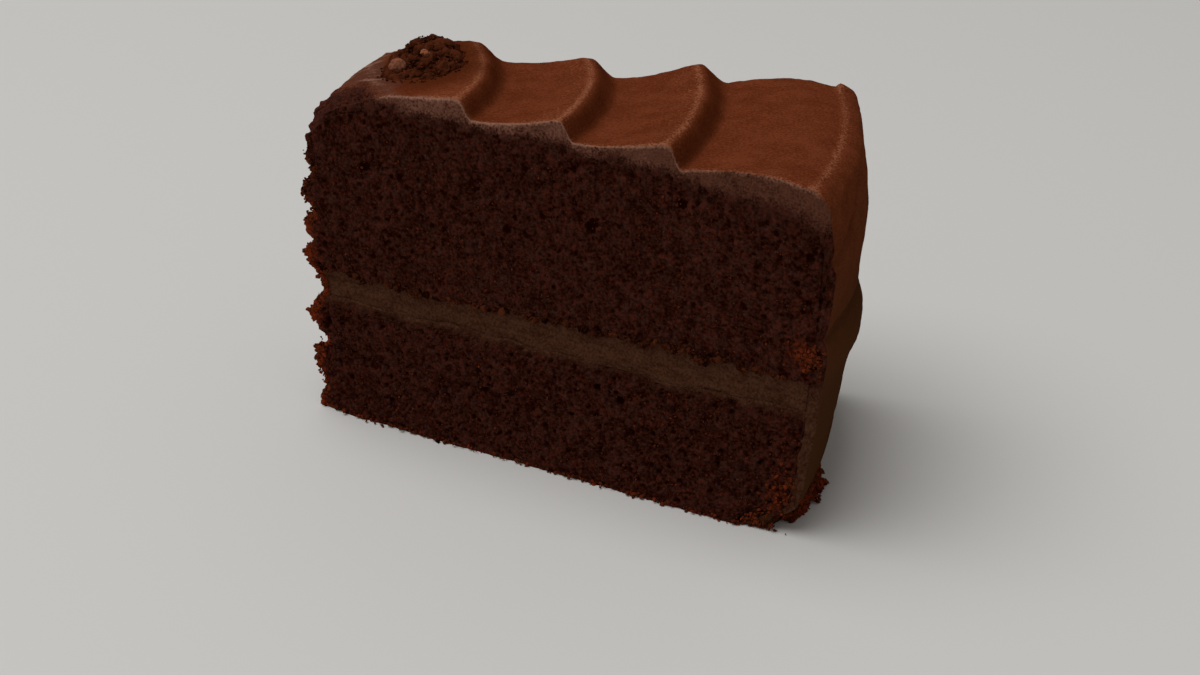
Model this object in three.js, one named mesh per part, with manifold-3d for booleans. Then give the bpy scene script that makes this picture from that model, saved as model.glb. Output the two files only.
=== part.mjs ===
// A slice of two-layer chocolate cake with combed icing, standing on its flat underside.
// Millimetres, +Z up. In the slice's own plan X runs along the front cut from nose to rim,
// and Y from the front cut to the back cut. At the end the slice is centred over its base.
import * as THREE from "three";
import { mergeVertices } from "three/addons/utils/BufferGeometryUtils.js";
import Module from "manifold-3d";

// ---- Driving dimensions ----
const GAP = 0.3; // clearance between two touching pieces

// Plan of the slice
const SWIRL = { x: -30, y: -10 }; // middle of the whole cake and of its combed rings
const NOSE_BACK = { x: -1.5, y: 36.3 }; // where the nose meets the back cut; the front cut starts at 0, 0
const BACK_CUT_ANGLE = THREE.MathUtils.degToRad(14.4);
const NOSE_RADIUS = 60; // inside this radius the plan blends from the ring to the straight nose
const NOSE_SHARE = 0.34; // share of the slice's length that this blend takes
const NOSE_BITE = { depth: 2.4, height: 33, spread: 6 }; // how far crumbling has set back the nose at the filling

// Layers
const LOWER_TOP = 29.3;
const FILLING_TOP = 35.7;
const UPPER_TOP = 76; // top of the upper sponge at the nose half
const DOME_START = 80; // radius from which the sponge's top falls away
const DOME_FALL = 9.5; // how much it has fallen at the rim
const ICING_SIDE = 2.8; // thickness of the icing at the foot of the outer side
const SPONGE_TAPER = { size: 5.8, height: 22 }; // how the sponge's side leans out above its foot
const CRUMB = 0.5; // depth of the unevenness of a cut sponge face

// Combed icing on top: each ring rises gently outwards to its crest, then drops steeply
const CRESTS = [
  { radius: 71.9, height: 83.1, foot: 78.9 },
  { radius: 95.8, height: 82.7, foot: 78.2 },
  { radius: 119.7, height: 81.4, foot: 76.6 },
];
const FIRST_FOOT = { radius: 48, height: 81.1 };
const RISE_POWER = 1.7; // how hollow a ring is
const DROP_WIDTH = 3.2; // run of the steep face at the front cut
const DROP_SPREAD = 3; // how much wider it is at the back cut
const OUTER_RING = { radius: 141.5, height: 78.7, fall: 1.85, run: 9.7 };
const LIP_RADIUS = 150.7;
const BACK_FALL = 4; // the top is this much lower at the back cut than at the front
const BACK_FALL_AT = 45;
const CORNER_DROP = { depth: 14, alongX: 5.3, alongY: 14.5 }; // the worn front corner of the nose

// Outer side: radius at each height, with the ledge just above the filling
const SIDE = [
  [0, 150],
  [5, 150.8],
  [12, 152.4],
  [24, 153.8],
  [29, 155],
  [34.5, 156.3],
  [38, 155.9],
  [41.5, 154.7],
  [48, 155.1],
  [60, 156],
  [66, 155.4],
  [73, 154],
];

// Small features
const KNOB = { x: 13.6, y: 20.2, radius: 2.5 }; // blob of icing beside the crumbs on the nose
const TURNED_LIP = { x: 103.8, y: 63.5, rise: 1.4, spread: 2 }; // icing turned up at the back of the rim
const TOP_CRUMBS = { x: 15, y: 27.5, alongX: 11.5, alongY: 9.5, rise: 3.2, backRise: 0.5, ragged: 0.12 };
const BASE_CRUMBS = { y: 11.5, halfWidth: 6.2, rise: 7.5, depth: 4.6 };

// Mesh density
const ACROSS = 12;
const SPONGE_ALONG = 24;
const RING_STEPS = 4;

// ---- Helpers ----
const { smoothstep, lerp } = THREE.MathUtils;

// A smooth bumpiness from -1 to 1, the same on every run.
function bumps(a, b) {
  return 0.6 * Math.sin(0.41 * a + 1.7 * Math.sin(0.23 * b)) + 0.4 * Math.sin(0.37 * b + 0.9 * a + 2);
}

// The radius of the outer side at a height, along a smooth curve through SIDE.
const sideCurve = new THREE.CatmullRomCurve3(
  SIDE.map(([z, r]) => new THREE.Vector3(r, 0, z)), false, "centripetal",
).getPoints(160);

function sideRadius(z) {
  const at = sideCurve.findIndex((p) => p.z >= z);
  if (at < 0) return SIDE[SIDE.length - 1][1];
  if (at === 0) return SIDE[0][1];
  const [p, q] = [sideCurve[at - 1], sideCurve[at]];
  return lerp(p.x, q.x, (z - p.z) / (q.z - p.z));
}

// The sponge's own outer radius under the icing: the same taper towards the foot, without the ledge.
const spongeRadius = (z) =>
  SIDE[0][1] - ICING_SIDE + SPONGE_TAPER.size * (1 - Math.exp(-z / SPONGE_TAPER.height));

// The point of a ring of the given radius, across = 0 on the front cut and 1 on the back cut.
function ringPoint(radius, across) {
  const front = Math.asin(-SWIRL.y / radius);
  const [ux, uy] = [Math.cos(BACK_CUT_ANGLE), Math.sin(BACK_CUT_ANGLE)];
  const [bx, by] = [NOSE_BACK.x - SWIRL.x, NOSE_BACK.y - SWIRL.y];
  const along = bx * ux + by * uy;
  const t = -along + Math.sqrt(along * along - bx * bx - by * by + radius * radius);
  const back = Math.atan2(by + t * uy, bx + t * ux);
  const angle = lerp(front, back, across);
  return { x: SWIRL.x + radius * Math.cos(angle), y: SWIRL.y + radius * Math.sin(angle) };
}

// A point of the plan: along = 0 on the nose, NOSE_SHARE on the first ring and 1 on the rim.
function planPoint(along, across, rim) {
  if (along >= NOSE_SHARE) {
    const share = (along - NOSE_SHARE) / (1 - NOSE_SHARE);
    return ringPoint(lerp(NOSE_RADIUS, rim, share), across);
  }
  const ring = ringPoint(NOSE_RADIUS, across);
  const share = along / NOSE_SHARE;
  return {
    x: lerp(NOSE_BACK.x * across, ring.x, share),
    y: lerp(NOSE_BACK.y * across, ring.y, share),
  };
}

const fromSwirl = (x, y) => Math.hypot(x - SWIRL.x, y - SWIRL.y);
const backFall = (radius, y) => (y / BACK_FALL_AT) * (BACK_FALL - 3.2 * smoothstep(radius, 95, 130));
const cornerDrop = (x, y) =>
  CORNER_DROP.depth * Math.exp(-Math.max(x, 0) / CORNER_DROP.alongX - y / CORNER_DROP.alongY);

// How wide the steep face of a ring is, from the front cut to the back cut.
const dropWidth = (y) => DROP_WIDTH + (DROP_SPREAD * y) / 50;

// The section of the combed rings: height at a radius.
function ringHeight(radius, y) {
  const width = dropWidth(y);
  const next = CRESTS.findIndex((crest) => radius <= crest.radius);
  const previous = next < 0 ? CRESTS[CRESTS.length - 1] : CRESTS[next - 1];
  if (previous && radius < previous.radius + width) {
    return lerp(previous.height, previous.foot, smoothstep(radius, previous.radius, previous.radius + width));
  }
  if (next < 0) {
    const run = radius < OUTER_RING.radius ? OUTER_RING.radius - previous.radius - width : OUTER_RING.run;
    const fall = radius < OUTER_RING.radius ? OUTER_RING.height - previous.foot : OUTER_RING.fall;
    return OUTER_RING.height - fall * ((radius - OUTER_RING.radius) / run) ** 2;
  }
  const start = previous ? previous.radius + width : FIRST_FOOT.radius;
  const low = previous ? previous.foot : FIRST_FOOT.height;
  const share = Math.max(0, (radius - start) / (CRESTS[next].radius - start));
  return low + (CRESTS[next].height - low) * share ** RISE_POWER;
}

// The height of the icing's top surface.
function topHeight(x, y) {
  const radius = fromSwirl(x, y);
  const lip = Math.exp(-((x - TURNED_LIP.x) ** 2 + (y - TURNED_LIP.y) ** 2) / TURNED_LIP.spread ** 2);
  return ringHeight(radius, y) - backFall(radius, y) - cornerDrop(x, y) + TURNED_LIP.rise * lip;
}

// The height of the sponge's top under the icing.
function spongeHeight(x, y) {
  const radius = fromSwirl(x, y);
  const dome = DOME_FALL * Math.max(0, (radius - DOME_START) / (LIP_RADIUS - DOME_START)) ** 2;
  return UPPER_TOP - dome - backFall(radius, y) - 0.9 * cornerDrop(x, y);
}

// ---- Solids ----

// The height of the icing's underside, a little further off where the nose is worn.
const undersideHeight = (x, y) => spongeHeight(x, y) + GAP + 0.06 * cornerDrop(x, y);

// A box of unit size cut into a grid, each of whose points place(u, v, w) moves to where it belongs.
function warpedBox(along, across, up, place) {
  const box = new THREE.BoxGeometry(1, 1, 1, along, across, up);
  box.deleteAttribute("normal");
  box.deleteAttribute("uv");
  const shape = mergeVertices(box, 1e-4);
  const points = shape.getAttribute("position");
  for (let i = 0; i < points.count; i++) {
    const p = place(points.getX(i) + 0.5, points.getY(i) + 0.5, points.getZ(i) + 0.5);
    points.setXYZ(i, p.x, p.y, p.z);
  }
  return shape;
}

// One layer of the slice between two height functions; crumb is the unevenness of its cut faces.
function layer(bottom, top, up, crumb, nose) {
  return warpedBox(SPONGE_ALONG, ACROSS, up, (u, v, w) => {
    const nominal = planPoint(u, v, spongeRadius(bottom) - GAP);
    const z = lerp(bottom, top(nominal.x, nominal.y), w);
    const p = planPoint(u, v, spongeRadius(z) - GAP);
    if (u === 0) p.x += nose(z) + crumb * (1 + bumps(2.1 * p.y, 1.3 * z));
    if (v === 0) p.y += crumb * (1 + bumps(p.x, z));
    if (v === 1) p.y -= crumb * (1 + bumps(p.x + 40, z));
    return { x: p.x, y: p.y, z: w === 1 ? top(p.x, p.y) : lerp(bottom, top(p.x, p.y), w) };
  });
}

const noseBite = (z) => NOSE_BITE.depth * Math.exp(-(((z - NOSE_BITE.height) / NOSE_BITE.spread) ** 2));

// Where the icing's grid lines run over the top: between the rings, at each crest and down its steep face.
function ringStations(y) {
  const stations = [];
  let start = NOSE_RADIUS;
  for (const crest of CRESTS) {
    for (let i = 0; i < RING_STEPS; i++) stations.push(lerp(start, crest.radius, 1 - (1 - i / RING_STEPS) ** 1.4));
    stations.push(crest.radius, crest.radius + 0.5 * dropWidth(y));
    start = crest.radius + dropWidth(y);
  }
  for (let i = 0; i < 2 * RING_STEPS; i++) stations.push(lerp(start, LIP_RADIUS, i / (2 * RING_STEPS)));
  return stations;
}

// The icing as one bent sheet: over the top from the nose to the lip, then down the outer side.
function icing() {
  const noseSteps = 5;
  const topSteps = noseSteps + ringStations(0).length;
  const heights = [76.4, 75, 72, 66, 60, 54, 48, 44.5, 41.5, 39.7, 38, 36, 34.5, 32, 29, 26.5, 24, 12, 5, 0];
  const steps = topSteps + heights.length - 1;
  const innerTop = spongeHeight(LIP_RADIUS + SWIRL.x, 0);
  return warpedBox(steps, ACROSS, 1, (u, v, w) => {
    const step = Math.round(u * steps);
    const outside = w === 1;
    if (step < noseSteps) {
      const p = planPoint((NOSE_SHARE * step) / noseSteps, v, LIP_RADIUS);
      return { ...p, z: outside ? topHeight(p.x, p.y) : undersideHeight(p.x, p.y) };
    }
    if (step < topSteps) {
      const y = ringPoint(100, v).y;
      const radius = ringStations(y)[step - noseSteps];
      const inner = lerp(NOSE_RADIUS, spongeRadius(innerTop), (radius - NOSE_RADIUS) / (LIP_RADIUS + 3 - NOSE_RADIUS));
      const p = ringPoint(outside ? radius : inner, v);
      return { ...p, z: outside ? topHeight(p.x, p.y) : undersideHeight(p.x, p.y) };
    }
    const fall = heights[step - topSteps];
    if (!outside) {
      const corner = ringPoint(spongeRadius(innerTop), v);
      const z = (spongeHeight(corner.x, corner.y) + GAP) * (fall / heights[0]);
      return { ...ringPoint(spongeRadius(z), v), z };
    }
    const rounding = 1.2 * smoothstep(fall, 72, heights[0]);
    const p = ringPoint(sideRadius(fall) - rounding, v);
    const settle = topHeight(p.x, p.y) - heights[0];
    return { ...p, z: fall + Math.min(settle, 0.6) * smoothstep(fall, 50, heights[0]) };
  });
}

// A crust of loose crumbs stuck on the icing, over an oval of the nose.
function topCrumbs() {
  return warpedBox(10, 9, 1, (u, v, w) => {
    const [a, b] = [2 * u - 1, 2 * v - 1];
    const ragged = 1 + TOP_CRUMBS.ragged * bumps(9 * a, 7 * b);
    const x = TOP_CRUMBS.x + TOP_CRUMBS.alongX * ragged * a * Math.sqrt(1 - (b * b) / 2);
    const y = TOP_CRUMBS.y + TOP_CRUMBS.alongY * ragged * b * Math.sqrt(1 - (a * a) / 2);
    const middle = 1 - Math.max(a * a, b * b);
    const swell = Math.sqrt(middle) * (1 + TOP_CRUMBS.backRise * b);
    const rise = 0.5 + TOP_CRUMBS.rise * swell * (1 + 0.2 * bumps(9 * x, 8 * y));
    return { x, y, z: topHeight(x, y) + 0.5 + w * rise };
  });
}

// A clump of crumbs that leans on the outer side at its foot.
function baseCrumbs() {
  const start = Math.asin((BASE_CRUMBS.y - SWIRL.y) / SIDE[0][1]);
  return warpedBox(8, 1, 6, (u, v, w) => {
    const z = w * BASE_CRUMBS.rise * (1 - 0.35 * (2 * u - 1) ** 2);
    const wall = sideRadius(z) + 0.5;
    const middle = Math.sqrt(Math.max(0, 1 - (2 * u - 1) ** 2)) * Math.sqrt(1 - w * w);
    const depth = 0.6 + BASE_CRUMBS.depth * middle * (1 + 0.25 * bumps(20 * u, 3 * z));
    const angle = start + ((2 * u - 1) * BASE_CRUMBS.halfWidth) / wall;
    const radius = wall + (1 - v) * depth;
    return { x: SWIRL.x + radius * Math.cos(angle), y: SWIRL.y + radius * Math.sin(angle), z };
  });
}

// ---- Joining with manifold-3d ----
const wasm = await Module();
wasm.setup();

function solid(geometry) {
  const merged = mergeVertices(geometry, 1e-4);
  return new wasm.Manifold(
    new wasm.Mesh({
      numProp: 3,
      vertProperties: new Float32Array(merged.getAttribute("position").array),
      triVerts: new Uint32Array(merged.index.array),
    }),
  );
}

function geometryOf(manifold) {
  const mesh = manifold.getMesh();
  return new THREE.BufferGeometry()
    .setAttribute("position", new THREE.BufferAttribute(mesh.vertProperties, 3))
    .setIndex(new THREE.BufferAttribute(mesh.triVerts, 1));
}

// The small knob of icing, as a ball that is grown by the given margin.
function knob(margin) {
  const ball = new THREE.SphereGeometry(KNOB.radius + margin, 12, 8);
  ball.deleteAttribute("normal");
  ball.deleteAttribute("uv");
  ball.scale(1.15, 1, 0.9);
  ball.translate(KNOB.x, KNOB.y, topHeight(KNOB.x, KNOB.y) + 0.4 * KNOB.radius);
  return solid(ball);
}

// ---- Assembly ----
const SPONGE = { color: 0x24100a, roughness: 0.95, metalness: 0 };
const CREAM = { color: 0x30190f, roughness: 0.6, metalness: 0 };
const ICING = { color: 0x5a2a16, roughness: 0.5, metalness: 0 };
const CRUMBS = { color: 0x30120a, roughness: 0.95, metalness: 0 };

function piece(name, geometry, finish) {
  geometry.computeVertexNormals();
  const mesh = new THREE.Mesh(geometry, new THREE.MeshStandardMaterial(finish));
  mesh.name = name;
  return mesh;
}

const slice = new THREE.Group();
slice.add(
  piece("sponge_lower", layer(0, () => LOWER_TOP, 6, CRUMB, noseBite), SPONGE),
  piece("filling", layer(LOWER_TOP + GAP, () => FILLING_TOP, 1, 0, noseBite), CREAM),
  piece("sponge_upper", layer(FILLING_TOP + GAP, spongeHeight, 7, CRUMB, noseBite), SPONGE),
  piece("icing", geometryOf(solid(icing()).add(knob(0))), ICING),
  piece("top_crumbs", geometryOf(solid(topCrumbs()).subtract(knob(GAP))), CRUMBS),
  piece("base_crumbs", baseCrumbs(), CRUMBS),
);

// The origin is the middle of the underside.
const box = new THREE.Box3().setFromObject(slice);
slice.position.set(-(box.min.x + box.max.x) / 2, -(box.min.y + box.max.y) / 2, 0);

export default slice;
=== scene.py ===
# %% [markdown]
# # A slice of chocolate cake
# The packed model gives the size and place of each layer. This script puts a fine surface over each of
# them: torn sponge, soft filling, combed icing and loose crumbs. Every shape is worked out with numpy.

# %% Load the frame
from itertools import product

import bpy
import numpy as np
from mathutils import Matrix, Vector


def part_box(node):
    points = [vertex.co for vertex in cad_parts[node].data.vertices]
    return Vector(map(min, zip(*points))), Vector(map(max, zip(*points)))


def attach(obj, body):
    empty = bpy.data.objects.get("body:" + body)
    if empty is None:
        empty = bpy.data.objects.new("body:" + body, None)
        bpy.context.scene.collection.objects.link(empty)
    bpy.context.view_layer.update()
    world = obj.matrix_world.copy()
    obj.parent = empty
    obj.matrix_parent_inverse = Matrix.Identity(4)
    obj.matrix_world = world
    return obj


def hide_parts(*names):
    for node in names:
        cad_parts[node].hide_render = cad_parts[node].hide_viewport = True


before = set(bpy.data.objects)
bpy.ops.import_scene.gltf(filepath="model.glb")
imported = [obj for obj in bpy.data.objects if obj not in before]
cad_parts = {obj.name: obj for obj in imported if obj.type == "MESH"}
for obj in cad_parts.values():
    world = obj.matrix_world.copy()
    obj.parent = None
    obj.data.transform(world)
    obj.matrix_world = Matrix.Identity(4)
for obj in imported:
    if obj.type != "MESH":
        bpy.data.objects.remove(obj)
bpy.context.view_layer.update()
print("nodes:", sorted(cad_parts))

# %% [markdown]
# ## Measures
# The slice is worked out in millimetres in its own plan: X runs along the front cut from the nose to the
# iced rim, Y from the front cut to the back cut, and Z is up. The rings of the icing share one middle, so
# most of the plan is polar: a radius from that middle, and a share of the way from the front cut to the back.

# %% The slice's own plan
MM = 0.001
SWIRL = np.array([-30.0, -10.0])  # middle of the rings
NOSE_BACK = np.array([-1.5, 36.3])  # where the nose meets the back cut
BACK_CUT = np.radians(14.4)  # how far the back cut turns away from the front cut
NOSE_RADIUS = 60.0  # from here out the rings are true arcs
LIP_RADIUS = 150.7  # where the top rolls over into the outer side

icing_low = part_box("icing")[0]
ORIGIN = np.array([icing_low.x / MM - NOSE_BACK[0], icing_low.y / MM, 0.0])
FILLING_LOW, FILLING_HIGH = (corner.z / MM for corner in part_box("filling"))
UPPER_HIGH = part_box("sponge_upper")[1].z / MM
print("filling from", round(FILLING_LOW, 2), "to", round(FILLING_HIGH, 2), "mm")
print("upper sponge up to", round(UPPER_HIGH, 2), "mm")


# %% Small helpers
def smooth(value, low, high):
    """Rises from 0 at low to 1 at high along 3 t squared minus 2 t cubed."""
    t = np.clip((value - low) / (high - low), 0, 1)
    return t * t * (3 - 2 * t)


def bell(value, middle, spread):
    """A bump of height 1: e to the minus square of the distance from the middle over the spread."""
    return np.exp(-(((value - middle) / spread) ** 2))


def blend(a, b, share):
    """a where share is 0 and b where it is 1."""
    return a + (b - a) * share


def stack(x, y, z):
    """Points from three coordinates of shapes that fit each other."""
    return np.stack(np.broadcast_arrays(x, y, z), axis=-1).astype(float)


print("smooth at a quarter:", smooth(0.25, 0, 1))


# %% [markdown]
# ## Random bumps that are the same on every run
# A cake has no two crumbs alike, but the script has to give the same cake each time. So randomness is
# worked out from the place itself: the three whole numbers of a cell are scrambled into a number from
# 0 to 1. Smooth noise blends the numbers at the eight corners of a cell. Crumbs and holes come from the
# distance to one random point in each cell. Blender's own textures could roughen a mesh too, but here the
# same numbers both shape the sponge and colour it.

# %% Noise
CORNERS = np.array(list(product((0, 1), repeat=3)), float)
NEIGHBOURS = np.array(list(product((-1, 0, 1), repeat=3)), float)


def scramble(cell, seed):
    """A random number from 0 to 1 for each cell: its indices multiplied and folded as 32-bit words."""
    c = np.atleast_2d(cell).astype(np.int64).astype(np.uint32)
    i, j, k = c[..., 0], c[..., 1], c[..., 2]
    h = i * np.uint32(0x8DA6B343) ^ j * np.uint32(0xD8163841) ^ k * np.uint32(0xCB1AB31F)
    h = h ^ np.uint32((seed * 0x9E3779B1) & 0xFFFFFFFF)
    h = (h ^ (h >> np.uint32(15))) * np.uint32(0x2C1B3C6D)
    h = (h ^ (h >> np.uint32(12))) * np.uint32(0x297A2D39)
    return ((h ^ (h >> np.uint32(15))) / 2.0**32).reshape(np.shape(cell)[:-1])


def bumpy(points, size, seed):
    """Smooth bumps from -1 to 1, about size apart: corner values weighted by nearness along each axis."""
    p = points / size
    low = np.floor(p)
    t = p - low
    t = t * t * (3 - 2 * t)
    total = 0
    for corner in CORNERS:
        weight = np.prod(np.where(corner > 0, t, 1 - t), axis=-1)
        total = total + weight * scramble(low + corner, seed)
    return 2 * total - 1


def rough(points, size, seed, octaves=3):
    """Bumps on bumps: each layer is half as large and half as high as the one before."""
    return sum(bumpy(points, size / 2**n, seed + n) / 2**n for n in range(octaves))


def nearest_seed(points, size, seed):
    """Distance in mm to the nearest of the random points, one to a cell, and that point's own number 0..1."""
    p = points / size
    low = np.floor(p)
    best = np.full(p.shape[:-1], 9.0)
    tag = np.zeros(p.shape[:-1])
    for step in NEIGHBOURS:
        cell = low + step
        middle = cell + np.stack([scramble(cell, seed + k) for k in range(3)], axis=-1)
        far = np.linalg.norm(p - middle, axis=-1)
        closer = far < best
        best = np.where(closer, far, best)
        tag = np.where(closer, scramble(cell, seed + 3), tag)
    return best * size, tag


samples = np.array([(0, 0, 0), (5, 0, 0), (5, 5, 0)])
print("bumps at three places:", np.round(bumpy(samples, 4, 1), 2))


# %% [markdown]
# ## The plan and the heights
# These functions say where the cake is. A ring is cut by the front cut, a straight line along X, and by
# the back cut, a straight line that leans away from it. The combed top is a saw-tooth section carried round
# the rings: each ring rises hollow to its crest and drops steeply on the side towards the rim. All of the
# cake's pieces ask these same functions, so they fit each other wherever a number is changed.

# %% Plan
NOSE_START = 30.0  # the radius that stands for the nose itself


def polar(p):
    """Radius and angle of points round the middle of the rings."""
    x, y = p[..., 0] - SWIRL[0], p[..., 1] - SWIRL[1]
    return np.hypot(x, y), np.arctan2(y, x)


def ring_point(radius, across):
    """Point of a ring: its angle goes evenly from the front cut to the back cut.

    At the front cut the sine of the angle is the middle's setback over the radius. At the back cut the
    point lies t along its line: the root of (along squared - start squared + radius squared), less along.
    """
    front = np.arcsin(-SWIRL[1] / radius)
    ux, uy = np.cos(BACK_CUT), np.sin(BACK_CUT)
    bx, by = NOSE_BACK - SWIRL
    along = bx * ux + by * uy
    t = -along + np.sqrt(along**2 - bx**2 - by**2 + radius**2)
    back = np.arctan2(by + t * uy, bx + t * ux)
    angle = blend(front, back, across)
    return SWIRL[0] + radius * np.cos(angle), SWIRL[1] + radius * np.sin(angle)


def plan_point(radius, across):
    """Point of the plan: a ring from NOSE_RADIUS out, and inside it an even blend to the straight nose."""
    x, y = ring_point(np.maximum(radius, NOSE_RADIUS), across)
    share = np.clip((radius - NOSE_START) / (NOSE_RADIUS - NOSE_START), 0, 1)
    return blend(NOSE_BACK[0] * across, x, share), blend(NOSE_BACK[1] * across, y, share)


print("the lip meets the cuts at", *(np.round(plan_point(LIP_RADIUS, share), 1) for share in (0.0, 1.0)))


# %% Heights of the top
CRESTS = ((71.9, 83.1, 78.9), (95.8, 82.7, 78.2), (119.7, 81.4, 76.6))  # radius, crest height, foot height
FIRST_FOOT_RADIUS, FIRST_FOOT_HEIGHT = 48.0, 81.1
OUTER_RADIUS, OUTER_HEIGHT = 141.5, 78.7
DROP_WIDTH, DROP_SPREAD = 3.3, 3.1  # a crest's steep side at the front cut, and what it gains in 50 mm
WORN_DEPTH = 10.0


def ring_height(radius, y):
    """Height across the rings: foot + rise * share to the power 1.7, and a smooth step down past each crest.

    The last ring is two parabolas that meet at OUTER_RADIUS, and the lip is a small bell on its edge.
    """
    width = DROP_WIDTH + DROP_SPREAD * y / 50
    height = np.full(np.broadcast(radius, y).shape, FIRST_FOOT_HEIGHT)
    start, low = np.full_like(height, FIRST_FOOT_RADIUS), FIRST_FOOT_HEIGHT
    for crest, top, foot in CRESTS:
        share = np.clip((radius - start) / (crest - start), 0, 1)
        rounding = 0.30 * bell(radius, crest, 0.9)
        rise = low + (top - low) * share**1.7 - rounding
        drop = blend(top - rounding, foot, smooth(radius, crest, crest + width))
        height = np.where(radius >= start, np.where(radius <= crest, rise, drop), height)
        start, low = crest + width, foot
    inner = low + (OUTER_HEIGHT - low) * (1 - ((OUTER_RADIUS - radius) / (OUTER_RADIUS - start)) ** 2)
    outer = OUTER_HEIGHT - 1.85 * ((radius - OUTER_RADIUS) / 9.7) ** 2
    last = np.where(radius < OUTER_RADIUS, inner, outer)
    return np.where(radius >= start, last, height) + 0.35 * bell(radius, LIP_RADIUS - 0.6, 0.9)


def back_fall(radius, y):
    """How much lower the cake is towards the back cut: most on the nose half."""
    return y / 45 * (4 - 3.4 * smooth(radius, 95, 130))


def corner_drop(x, y):
    """The worn front corner of the nose, a fall that fades along both cuts.

    It is 16 times e to the minus (x over 5.3 plus y over 14.5), held under WORN_DEPTH: it is divided by
    the fourth root of 1 plus the fourth power of its share of that depth.
    """
    fall = 16 * np.exp(-np.maximum(x, 0) / 5.3 - y / 14.5)
    return fall / (1 + (fall / WORN_DEPTH) ** 4) ** 0.25


def rolled_edge(x, y):
    """How far the icing rolls down over the front cut near the nose: 2.8 mm, gone 26 mm along the cut."""
    return 2.8 * bell(y, 0, 4.0) * (1 - smooth(x, 12, 26))


def top_height(x, y):
    """Height of the icing's top: the rings less the falls, with the first rings lifted towards the back."""
    radius = np.hypot(x - SWIRL[0], y - SWIRL[1])
    lift = y / 34 * 1.7 * smooth(radius, 52, 66) * (1 - smooth(radius, 60, 125))
    return ring_height(radius, y) + lift - back_fall(radius, y) - corner_drop(x, y) - rolled_edge(x, y)


def sponge_height(x, y):
    """Height of the sponge under the icing: level at the nose half, domed down by 9.5 mm at the rim."""
    radius = np.hypot(x - SWIRL[0], y - SWIRL[1])
    dome = 9.5 * np.maximum(0, (radius - 80) / (LIP_RADIUS - 80)) ** 2
    return UPPER_HIGH - dome - back_fall(radius, y) - 0.9 * corner_drop(x, y)


print("the crests stand at", [round(float(top_height(SWIRL[0] + r, 5.0)), 1) for r, _, _ in CRESTS])


# %% Heights of the filling, which is a little wavy
def waves(x, y, *parts):
    """Sum of bumps over the plan; each part is a height, a size and a seed."""
    return sum(height * bumpy(stack(x, y, 0), size, seed) for height, size, seed in parts)


def filling_bottom(x, y):
    """Lower edge of the filling: the CAD height and slow waves."""
    return FILLING_LOW + 0.1 + waves(x, y, (0.7, 13, 11), (0.35, 4, 12), (0.22, 1.5, 15))


def filling_top(x, y):
    """Upper edge of the filling: the CAD height, a slow rise in the middle and waves."""
    rise = 0.8 * smooth(np.asarray(x, float), 30, 90)
    return FILLING_HIGH + 0.4 + rise + waves(x, y, (0.6, 11, 13), (0.45, 3.5, 14), (0.45, 1.5, 16))


print("filling in front:", round(float(filling_top(60, 0) - filling_bottom(60, 0)), 1), "mm thick")


# %% Radius of the outer side
SIDE_TOP = 73.2
SIDE_HEIGHTS = np.array([0, 5, 12, 24, 30, 48, 55, 61, 67, SIDE_TOP])
SIDE_RADII = np.array([150, 150.8, 152.3, 153.8, 154.3, 155.1, 155.8, 156.1, 155.3, 154.2])


def sponge_radius(z):
    """The sponge's outer radius under the icing: 147.2 and 5.8 times 1 - e to the minus z over 22."""
    return 147.2 + 5.8 * (1 - np.exp(-z / 22))


def side_radius(z, y):
    """The icing's outer radius: a barrel and a ledge, less two smeared grooves and a notch that run askew.

    The ledge swells under a line that sinks by 6.2 mm across the slice, and each groove is a bell.
    """
    barrel = np.interp(z, SIDE_HEIGHTS, SIDE_RADII)
    gap = 47.4 - 6.2 * smooth(y, 4, 40) - z
    swell = smooth(gap, 0.5, 5.5) * (1 - smooth(gap, 6.5, 14.5))
    ledge = 1.9 * swell * smooth(y, -14, 26) * (1 - 0.5 * smooth(y, 42, 60))
    low_groove = 0.9 * bell(gap, 0.2, 1.1)
    high_groove = 0.9 * bell(z, 63.6 + 4.7 * (y / 21.5) ** 2, 1.4) * (1 - smooth(y, 24, 34))
    notch = 0.6 * bell(z, 19.5 - y / 6, 1.0) * smooth(y, 14, 22)
    return barrel + ledge - low_groove - high_groove - notch


def worn(p):
    """Damage to the block: the front cut's foot spreads by 1.2 mm and the rim corner's foot is rubbed off."""
    x, y, z = p[..., 0], p[..., 1], p[..., 2]
    radius, _ = polar(p)
    foot = 1 - smooth(z, 0.5, 8)
    rub = 6.3 * np.exp(-np.maximum(y, 0) / 9) * foot * smooth(radius, 136, 148)
    spread = 1.2 * foot * smooth(x, 0, 12) * (1 - smooth(x, 108, 116)) * (1 - smooth(y, 0, 5))
    return stack(x - rub, y - spread, z)


print("rim at the foot", side_radius(0.0, 0.0), "and at the ledge", round(side_radius(36.0, 38.0), 2))

# %% [markdown]
# ## From grids to a closed piece
# Each surface is one or more grids of points. The grids of a piece meet along shared edges, so their
# points are welded there, and what is left is one closed skin of triangles. The relief of a surface is
# then a push along each point's normal. Sculpting by hand couldn't be repeated or measured.

# %% Welding
def grid_triangles(rows, columns):
    """Two triangles for each square of a grid; they face out where rows go up and columns go right."""
    i, j = np.meshgrid(np.arange(rows - 1), np.arange(columns - 1), indexing="ij")
    a = (i * columns + j).ravel()
    b, c, d = a + 1, a + columns + 1, a + columns
    return np.concatenate([np.stack([a, b, c], 1), np.stack([a, c, d], 1)])


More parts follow.
